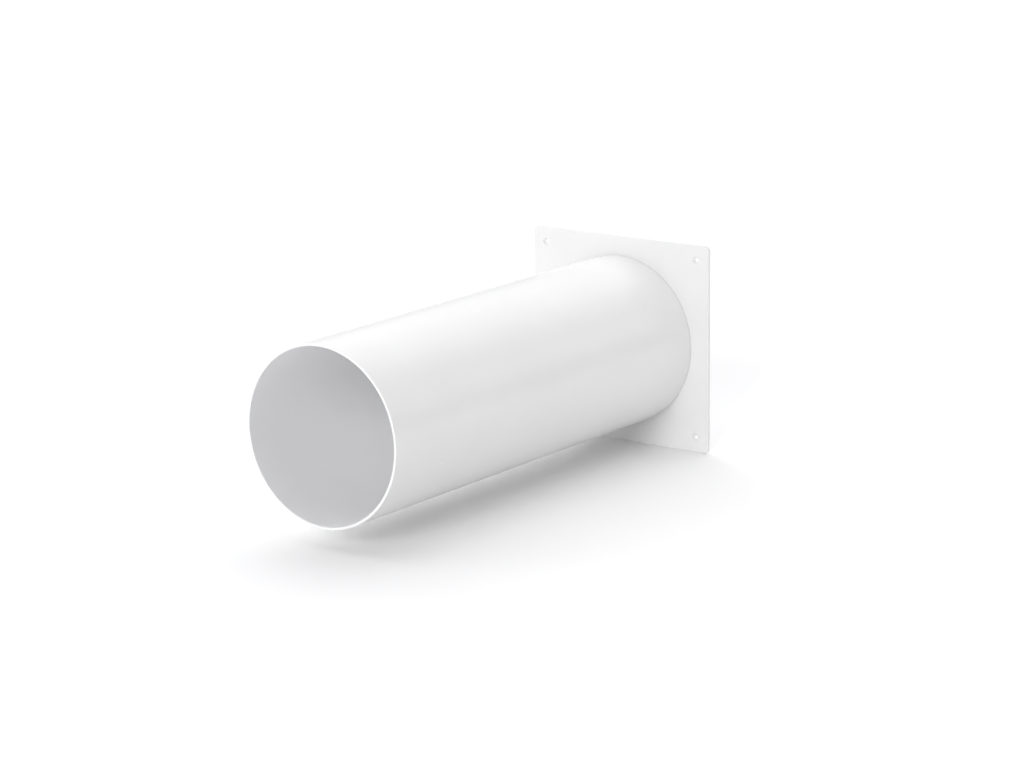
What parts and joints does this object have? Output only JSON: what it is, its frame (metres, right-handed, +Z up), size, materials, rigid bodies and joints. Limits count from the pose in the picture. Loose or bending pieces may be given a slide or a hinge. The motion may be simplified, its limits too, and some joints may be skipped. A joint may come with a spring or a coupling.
{
  "type": "round wall duct",
  "caption": "Rigid round ventilation duct: a straight plastic pipe pushed on to the spigot of a thin square wall plate with countersunk corner screw holes.",
  "frame": {"origin": "on the duct's axis, in the wall plate's wall face", "axes": "+Z up; the duct's axis lies along Y, with the wall on the +Y side and the pipe's open end towards -Y; +X to the right seen from the open end"},
  "size_m": [0.154, 0.3525, 0.154],
  "materials": {
    "pipe_plastic": "satin white extruded PVC",
    "plate_plastic": "satin white moulded ABS"
  },
  "bodies": {
    "plate": {"wall_plate": "plate_plastic"},
    "pipe": {"duct_pipe": "pipe_plastic"}
  },
  "joints": [
    {"name": "pipe_pull_off", "type": "slide", "parent": "plate", "child": "pipe", "axis": [0, -1, 0], "range_m": [0, 0.045]}
  ]
}
